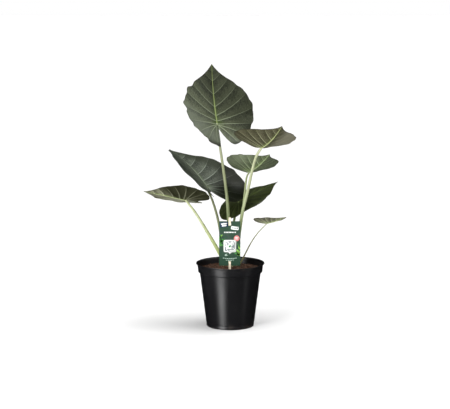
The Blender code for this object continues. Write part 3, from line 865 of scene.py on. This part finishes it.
def between_veins(lines, across, along):
    """A number that is whole on each vein, and the distance between the two veins beside a point."""
    above = None
    for number, (start, end_across, end_along) in enumerate(lines):
        share = abs(across) / end_across
        climb = end_along - start
        line = start + climb * share * (1 + VEIN_BOW * (share - 1))
        slope = climb / end_across * (1 + VEIN_BOW * (2 * share - 1))
        gap = (along - line) / math.hypot(1, slope)
        if gap >= 0:
            if above is None:
                return number - min(gap / EDGE_SPACING, 0.5), EDGE_SPACING
            spacing = max(gap - above, 0.01 * MM)
            return number - gap / spacing, spacing
        above = gap
    return len(lines) - 1 + min(-above / EDGE_SPACING, 0.5), EDGE_SPACING


print("veins on each half:", len(VEINS))

# %% [markdown]
# ## Building a blade
# A blade is one closed sheet. A grid is wrapped from the hub out over the upper side to the margin
# and back along the underside, so its middle row is the margin and its ends close at the hub. The
# columns crowd towards the tip, where the outline turns sharply. Thickness, the swelling between
# the veins, the raised midrib below and the waved margin are all pushed out along the normal.

# %% Blade surface
BLADE_COLUMNS = 200
BLADE_ROWS = 64
COLUMN_CROWDING = 1.35
BLADE_HALF_THICKNESS = 0.35 * MM
PILLOW = 0.9 * MM               # the swell between the veins of a blade that waves by PILLOW_WAVE
PILLOW_WAVE = 1.8
PILLOW_SPACING = 22 * MM
HUB_DIMPLE, HUB_DIMPLE_WIDTH = 1.0 * MM, 4 * MM


def pillow_height(leaf, phase, spacing, share, across):
    """How far the blade swells up between two veins; a calmer margin goes with a flatter blade."""
    full = PILLOW * (leaf.wave / PILLOW_WAVE) ** 1.5
    swell = abs(math.sin(math.pi * phase)) ** 1.4
    room = min(spacing / PILLOW_SPACING, 1)
    return full * swell * room * smooth_share(abs(across), 0.5 * MM, 9 * MM) * (1 - share ** 6)


def margin_wave(leaf, angle, share):
    """The slow wave of the margin, calm at the tip."""
    start = leaf.bearing
    calm = 1 - math.exp(-(math.degrees(angle) / 14) ** 2)
    wave = 0.6 * math.sin(8 * angle + start) + 0.4 * math.sin(13 * angle + 2 * start)
    return leaf.wave * MM * calm * wave * share ** 4


def rib_height(leaf, across, along):
    """The midrib, raised on the underside and thinning to the tip."""
    reach = min(max(along / (leaf.length * MM), 0), 1)
    size = leaf.thick[1] * MM * 0.85 * (1 - reach) ** 1.3 + 0.3 * MM * (1 - reach)
    width = 0.75 * size + 0.7 * MM
    behind = min(along, 0)
    return size * math.exp(-(across * across + behind * behind) / (width * width))


def make_blade(leaf, finishes):
    """The blade of one leaf, with its flat places, its veins and its margin kept as three UV maps."""
    axes = leaf_axes(leaf)
    lines = vein_lines(leaf)
    bm = bmesh.new()
    bmesh.ops.create_grid(bm, x_segments=BLADE_COLUMNS, y_segments=BLADE_ROWS, size=1)
    maps = [bm.loops.layers.uv.new(name) for name in ("flat", "veins", "edge")]
    places = {}
    for vert in bm.verts:
        side = 1 if vert.co.y > 0 else -1
        angle = math.copysign(abs(vert.co.x) ** COLUMN_CROWDING, vert.co.x) * math.pi
        share = math.sin((1 - abs(vert.co.y)) * math.pi / 2)
        across, along = flat_place(leaf, angle, share)
        phase, spacing = between_veins(lines, across, along)
        places[vert] = ((across / (100 * MM), along / (100 * MM)), (phase, spacing / (10 * MM)), (share, 0))
        height = pillow_height(leaf, phase, spacing, share, across) + margin_wave(leaf, angle, share)
        height += side * BLADE_HALF_THICKNESS * math.sqrt(max(1 - share ** 10, 0))
        if side < 0:
            height -= rib_height(leaf, across, along)
        else:
            height -= HUB_DIMPLE * math.exp(-(across ** 2 + along ** 2) / HUB_DIMPLE_WIDTH ** 2)
        vert.co = bent_place(leaf, axes, across, along) + blade_normal(leaf, axes, across, along) * height
    for face in bm.faces:
        below = sum(1 for vert in face.verts if vert.index // (BLADE_COLUMNS + 1) < BLADE_ROWS / 2)
        face.material_index = 1 if below >= 2 else 0
        for loop in face.loops:
            for uv_map, place in zip(maps, places[loop.vert]):
                loop[uv_map].uv = place
    weld(bm, 0.002 * MM)
    return make_object("blade_skin_" + leaf.name, bm, finishes)


# %% [markdown]
# ## The skin of a blade
# The upper side is a dark, satiny grey-green with thin pale veins, a yellow-green midrib and a
# glow round the hub; the underside is paler, bronze to grey, with the veins standing out. One
# recipe serves both: it measures the distance to the midrib and to the nearest vein in the flat
# blade, paints each panel between two veins darker on one side than the other as painted quilt
# shade, and lays a fine net of small cells between them. The tones, the washes of painted light and
# painted shade, the width of the veins and the direction of the bumps are what differs.

# %% Blade finish
# A tone is five colours. Each wash below is painted light or painted shade, laid softly across the flat
# blade in place of shadow on it and of light on it or through it: its bearing from the tip in degrees,
# where it starts and is full along that bearing (mm), its strength and its colour. It can keep to one
# half of the blade: 1 for the right one, -1 for the left one.
Tone = namedtuple("Tone", "dark light vein rib glow")
PaintedLight = namedtuple("PaintedLight", "bearing start full strength tint half", defaults=(0,))
# the painted shade in the pit at the hub, and the colour of the dry margin
PIT_SHADE = (0.018, 0.022, 0.008)
DRY_MARGIN = (0.020, 0.018, 0.012)


def blade_finish(name, tone, painted_washes, quilt_shade_share, raised, roughness, vein_scale):
    """A finish for one side of a blade; raised is above 0 where veins stand out, below where they sink."""
    coat = Finish(name, Specular_IOR_Level=0.14)
    flat, veins, edge = coat.uv("flat"), coat.uv("veins"), coat.uv("edge")
    mottle = coat.cloud(5.0, 5.0, 0.65, flat)
    fine = coat.cloud(24.0, 4.0, 0.6, flat)

    # places in mm: across and along the flat blade, and share from the hub to the margin
    across = coat.times(coat.axis(flat, 0), 100.0)
    along = coat.times(coat.axis(flat, 1), 100.0)
    share = coat.axis(edge, 0)
    from_rib = coat.calc("ABSOLUTE", across)
    rib_width = coat.remap(along, 0.0, 150.0, 2.4, 0.6)
    rib = coat.times(coat.remap(coat.calc("DIVIDE", from_rib, rib_width), 1.0, 0.45),
                     coat.remap(along, -5.0, 1.0))

    # veins, a little crooked, thinner and paler towards the margin
    phase = coat.calc("ADD", coat.axis(veins, 0), coat.calc("MULTIPLY_ADD", mottle, 0.10, -0.05))
    from_vein = coat.times(coat.calc("PINGPONG", phase, 0.5), coat.times(coat.axis(veins, 1), 10.0))
    vein_width = coat.remap(share, 0.15, 1.0, 1.5 * vein_scale, 0.6 * vein_scale)
    vein = coat.remap(coat.calc("DIVIDE", from_vein, vein_width), 1.0, 0.2)
    vein = coat.times(vein, coat.remap(share, 0.75, 1.0, 1.0, 0.30))

    # between the veins: painted quilt shade, each panel darker on one side and lighter on the other,
    # broken up by the mottle; a net of cells; and streaks that run with the veins
    quilt_shade = coat.calc("ADD", coat.calc("FRACT", phase), coat.times(mottle, 0.3))
    quilt_shade = coat.remap(quilt_shade, 0.25, 1.0)
    cells = add_node(coat.tree, "ShaderNodeTexVoronoi", {"Vector": flat, "Scale": 30.0},
                     feature="DISTANCE_TO_EDGE").outputs["Distance"]
    net = coat.remap(cells, 0.10, 0.0)
    with_veins = add_node(coat.tree, "ShaderNodeCombineXYZ",
                          {0: coat.times(phase, 7.0), 1: coat.times(share, 2.2), 2: across}).outputs[0]
    streaks = coat.cloud(1.0, 3.0, 0.6, with_veins)
    mixed = coat.remap(coat.calc("MULTIPLY_ADD", streaks, 0.5, coat.times(mottle, 0.5)), 0.38, 0.62)
    # how much of the mix is that painted quilt shade, against the mottle and the streaks
    mixed = coat.calc("MULTIPLY_ADD", quilt_shade, quilt_shade_share, coat.times(mixed, 1.0 - quilt_shade_share))
    coat.start(coat.remap(mixed, 0.10, 0.90), tone.dark, tone.light)
    coat.lay(tone.light, coat.remap(fine, 0.44, 0.60, 0.0, 0.38))
    coat.lay(tone.vein, coat.remap(streaks, 0.50, 0.66, 0.0, 0.24))
    coat.lay(tone.vein, net, 0.16)

    # the glow beside the midrib and round the hub, the veins, the washes of painted light and painted shade,
    # and the veins again
    near_rib = coat.times(coat.remap(from_rib, 10.0, 1.5, 0.0, 0.60), coat.remap(along, 140.0, 10.0))
    near_hub = coat.remap(coat.length(along, from_rib), 24.0, 3.0, 0.0, 0.85)
    glow = coat.calc("MAXIMUM", near_rib, near_hub)
    coat.lay(tone.glow, glow, coat.remap(along, -12.0, 4.0, 0.25, 1.0))
    coat.lay(tone.vein, vein, 0.9)
    ragged = coat.calc("MULTIPLY_ADD", mottle, 16.0, -8.0)
    # each wash lays painted shade or painted light over the skin
    for light_wash in painted_washes:
        turn = math.radians(light_wash.bearing)
        outward = coat.calc("ADD", coat.times(across, math.sin(turn)),
                            coat.calc("MULTIPLY_ADD", along, math.cos(turn), ragged))
        painted_mask = coat.times(coat.remap(outward, light_wash.start, light_wash.full), light_wash.strength)
        if light_wash.half:
            painted_mask = coat.times(painted_mask, coat.remap(coat.times(across, light_wash.half), -1.0, 1.5))
        coat.lay(light_wash.tint, painted_mask)
    coat.lay(tone.vein, vein, 0.22)
    coat.lay(tone.rib, rib)

    # on an upper side, painted shade in the pit where the back lobes part; on both, the dry margin
    from_pit = coat.length(coat.calc("ADD", along, 3.5), from_rib)
    coat.lay(PIT_SHADE, coat.remap(from_pit, 3.4, 1.8, 0.0, 0.85 if raised < 0 else 0.0))
    coat.lay(DRY_MARGIN, coat.remap(share, 0.970, 0.994), 0.7)

    gloss = coat.remap(mottle, 0.3, 0.7, roughness - 0.05, roughness + 0.06)
    lines = coat.times(coat.calc("MAXIMUM", vein, rib), raised)
    crinkle = coat.calc("ADD", coat.times(net, -0.5), fine)
    coat.close(Roughness=coat.calc("ADD", gloss, coat.times(vein, 0.08)),
               Normal=coat.relief(crinkle, 0.16 * MM, 0.6, coat.relief(lines, 0.6 * MM, 0.8)))
    return coat


# %% Tones of the seven blades
UPPER = Tone((0.006, 0.008, 0.002), (0.059, 0.067, 0.038), (0.19, 0.22, 0.14),
             (0.17, 0.215, 0.075), (0.038, 0.062, 0.011))
# broad_left's upper side: partly its own greyer green, partly a painted sheen
UPPER_GREY_SHEEN = Tone((0.004, 0.006, 0.002), (0.052, 0.062, 0.043), (0.21, 0.24, 0.19),
                  (0.18, 0.21, 0.145), (0.10, 0.13, 0.07))
# the back leaf's upper side: partly its own deep green, partly painted shade from the leaves above it
UPPER_DEEP_SHADED = Tone((0.006, 0.009, 0.002), (0.028, 0.037, 0.009), (0.060, 0.075, 0.030),
                  (0.08, 0.10, 0.03), (0.025, 0.04, 0.006))
BRONZE = Tone((0.022, 0.019, 0.008), (0.066, 0.060, 0.034), (0.25, 0.26, 0.15),
              (0.34, 0.38, 0.17), (0.066, 0.090, 0.018))
PALE = Tone((0.032, 0.031, 0.017), (0.155, 0.155, 0.100), (0.42, 0.43, 0.29),
            (0.42, 0.48, 0.24), (0.24, 0.31, 0.10))
# mid_right's underside: partly its own pale green, partly painted light shining through the blade
SAGE_LIT_THROUGH = Tone((0.030, 0.039, 0.019), (0.094, 0.115, 0.064), (0.30, 0.36, 0.21),
            (0.32, 0.39, 0.20), (0.17, 0.24, 0.07))
# the colours of painted shadow and of painted light, for the washes below
PAINTED_SHADE_TINT = (0.0045, 0.0055, 0.0015)
PAINTED_LIGHT_TINT = (0.15, 0.17, 0.13)
# the tones of the upper side and of the underside, where they are not UPPER and BRONZE
UPPER_TONES = {"broad_left": UPPER_GREY_SHEEN, "back": UPPER_DEEP_SHADED}
UNDER_TONES = {"mid_right": SAGE_LIT_THROUGH, "low_left": PALE, "small_right": PALE}
# painted light and shade on the upper sides: top lies in painted shadow towards its upper right and is lit
# on its left lobe, and broad_left lies in painted shade towards its right
UPPER_PAINTED_LIGHT = {
    "top": (PaintedLight(50, 0, 60, 0.55, PAINTED_SHADE_TINT), PaintedLight(215, -5, 45, 0.42, PAINTED_LIGHT_TINT), PaintedLight(180, 44, 62, 0.80, PAINTED_SHADE_TINT)),
    "broad_left": (PaintedLight(60, 70, 100, 0.80, (0.014, 0.018, 0.008)), PaintedLight(125, 0, 45, 0.88, PAINTED_SHADE_TINT)),
    "back": (PaintedLight(75, 60, 80, 0.45, (0.075, 0.085, 0.052)),),
}
# painted light and shade on the undersides: one wing of high_right and of mid_right catches painted light,
# and low_left has a band of painted shadow on its left half and painted light through its right half
UNDER_PAINTED_LIGHT = {
    "high_right": (PaintedLight(-90, 4, 40, 0.55, (0.25, 0.24, 0.17), -1),),
    "mid_right": (PaintedLight(90, 15, 55, 0.40, (0.26, 0.30, 0.20)),),
    "low_left": (PaintedLight(-125, -34, -8, 0.93, (0.018, 0.019, 0.006), -1),
                 PaintedLight(150, -30, 10, 0.60, (0.27, 0.28, 0.20), 1)),
}
for leaf in LEAVES:
    upper = blade_finish("upper_side_" + leaf.name, UPPER_TONES.get(leaf.name, UPPER),
                         UPPER_PAINTED_LIGHT.get(leaf.name, ()), 0.55, -0.3, 0.48, 1.0)
    under = blade_finish("underside_" + leaf.name, UNDER_TONES.get(leaf.name, BRONZE),
                         UNDER_PAINTED_LIGHT.get(leaf.name, ()), 0.60, 1.0, 0.52, 1.5)
    hand_over(make_blade(leaf, [upper, under]), "leaf_blade", "blade_" + leaf.name)

# %% [markdown]
# ## The stalks
# A leaf stalk is round at the hub, grooved on the side that faces the plant, and opens into a
# sheath at its foot. A curve with a bevel gives an even pipe, so the stalk is a grid rolled into
# a tube along a smooth route instead: its section can change on the way. Both ends close to a
# point, one buried in the peat and one running into the midrib under the blade.

# %% Stalk route
STALK_SIDES = 36
STALK_RINGS = 110
STALK_BURIED = 9 * MM


def smooth_route(points, share):
    """A point on a rounded line through all the points, from 0 at the first to 1 at the last."""
    ends = [points[0] * 2 - points[1]] + points + [points[-1] * 2 - points[-2]]
    reach = share * (len(points) - 1)
    number = min(int(reach), len(points) - 2)
    t = reach - number
    before, start, stop, after = ends[number:number + 4]
    return 0.5 * (start * 2 + (stop - before) * t
                  + (before * 2 - start * 5 + stop * 4 - after) * t ** 2
                  + (start * 3 - before - stop * 3 + after) * t ** 3)


def even_route(points, count):
    """Evenly spaced points on the rounded line."""
    dense = [smooth_route(points, step / 600) for step in range(601)]
    lengths = [0.0]
    for before, after in zip(dense, dense[1:]):
        lengths.append(lengths[-1] + (after - before).length)
    route, index = [], 0
    for step in range(count + 1):
        wanted = lengths[-1] * step / count
        while index < 599 and lengths[index + 1] < wanted:
            index += 1
        part = (wanted - lengths[index]) / (lengths[index + 1] - lengths[index])
        route.append(dense[index].lerp(dense[index + 1], min(part, 1)))
    return route


def stalk_points(leaf):
    """The points that a stalk passes: out of the crown, along its ways, and under the hub."""
    bearing, room = math.radians(leaf.seat[0]), leaf.seat[1]
    base_radius, hub_radius = (radius * MM for radius in leaf.thick)
    ring = room * (CROWN_RADIUS - 2.5 * MM - base_radius)
    seat = Vector((ring * math.cos(bearing), ring * math.sin(bearing), CROWN_TOP))
    across, tip, up = leaf_axes(leaf)
    hub = over_soil(leaf.hub)
    foot = [seat - UP * STALK_BURIED, seat + UP * 5 * MM]
    head = [hub - up * (hub_radius * 0.95), hub + tip * (4 * MM) - up * (hub_radius * 0.6)]
    return foot + [over_soil(way) for way in leaf.ways] + head


# %% Stalk tube
def section_radius(leaf, share, around):
    """The stalk's radius at a share of its length, around from the side that faces the plant."""
    base, hub = leaf.thick
    radius = (base + (hub - base) * share ** 0.7) * MM
    foot = math.exp(-(share / 0.16) ** 2)
    groove = (0.10 + 0.36 * foot) * math.exp(-(around / 0.5) ** 2)
    lips = 0.12 * foot * math.exp(-((abs(around) - 1.0) / 0.35) ** 2)
    end = math.sqrt(max(1 - abs(2 * share - 1) ** 60, 0))
    return radius * (1 - groove + lips) * end


def make_stalk(leaf, finish):
    """A tube rolled from a grid along the stalk's route."""
    route = even_route(stalk_points(leaf), STALK_RINGS)
    inward = Vector((-leaf.hub[0], -leaf.hub[1], 30)).normalized()
    bm = bmesh.new()
    bmesh.ops.create_grid(bm, x_segments=STALK_SIDES, y_segments=STALK_RINGS, size=1)
    run_uv = bm.loops.layers.uv.new("run")
    places = {}
    for vert in bm.verts:
        around = vert.co.x * math.pi
        step = round((vert.co.y + 1) / 2 * STALK_RINGS)
        share = step / STALK_RINGS
        places[vert] = (vert.co.x, share)
        ahead = route[min(step + 1, STALK_RINGS)] - route[max(step - 1, 0)]
        ahead.normalize()
        facing = (inward - ahead * inward.dot(ahead)).normalized()
        sideways = ahead.cross(facing)
        radius = section_radius(leaf, share, around)
        vert.co = route[step] + facing * (math.cos(around) * radius) + sideways * (math.sin(around) * radius)
    for face in bm.faces:
        for loop in face.loops:
            loop[run_uv].uv = places[loop.vert]
    weld(bm, 0.002 * MM)
    return make_object("stalk_skin_" + leaf.name, bm, [finish])


# %% Stalk finish
def stalk_finish(name, foot_tone, head_tone, edge_tone):
    """Pale fleshy green, streaked along its length, with darker lips beside the groove."""
    flesh = Finish(name, Roughness=0.45)
    run = flesh.uv("run")
    streaks = flesh.cloud((14.0, 2.0, 1.0), 5.0, 0.6, run)
    speckle = flesh.remap(flesh.cloud((500.0, 500.0, 200.0)), 0.56, 0.70)
    aside = flesh.calc("ABSOLUTE", flesh.axis(run, 0))
    lip = flesh.times(flesh.remap(aside, 0.22, 0.30), flesh.remap(aside, 0.42, 0.33))
    flesh.start(flesh.remap(flesh.axis(run, 1), 0.15, 0.8), foot_tone, head_tone)
    flesh.lay(edge_tone, flesh.remap(streaks, 0.35, 0.75, 0.0, 0.40))
    flesh.lay(edge_tone, speckle, 0.18)
    flesh.lay(edge_tone, lip, 0.45)
    flesh.close(Normal=flesh.relief(streaks, 0.25 * MM, 0.5))
    return flesh


GREEN_FOOT = (0.17, 0.23, 0.075)
CREAM_HEAD = (0.44, 0.46, 0.29)
GREEN_EDGE = (0.11, 0.16, 0.04)
# foot, head and edge tones
STALK_TONES = {
    "top": ((0.100, 0.140, 0.042), (0.275, 0.29, 0.17), GREEN_EDGE),
    "high_right": (GREEN_FOOT, CREAM_HEAD, GREEN_EDGE),
    "mid_right": ((0.22, 0.28, 0.10), (0.34, 0.38, 0.20), GREEN_EDGE),
    "broad_left": ((0.16, 0.19, 0.075), (0.17, 0.19, 0.085), (0.07, 0.085, 0.03)),
    "low_left": ((0.36, 0.42, 0.15), (0.43, 0.45, 0.27), (0.22, 0.29, 0.09)),
    "back": (GREEN_FOOT, (0.20, 0.25, 0.10), GREEN_EDGE),
    "small_right": ((0.46, 0.46, 0.20), (0.40, 0.40, 0.28), (0.20, 0.21, 0.11)),
}
for leaf in LEAVES:
    finish = stalk_finish("stalk_flesh_" + leaf.name, *STALK_TONES[leaf.name])
    hand_over(make_stalk(leaf, finish), "leaf_stalk", "stalk_" + leaf.name)
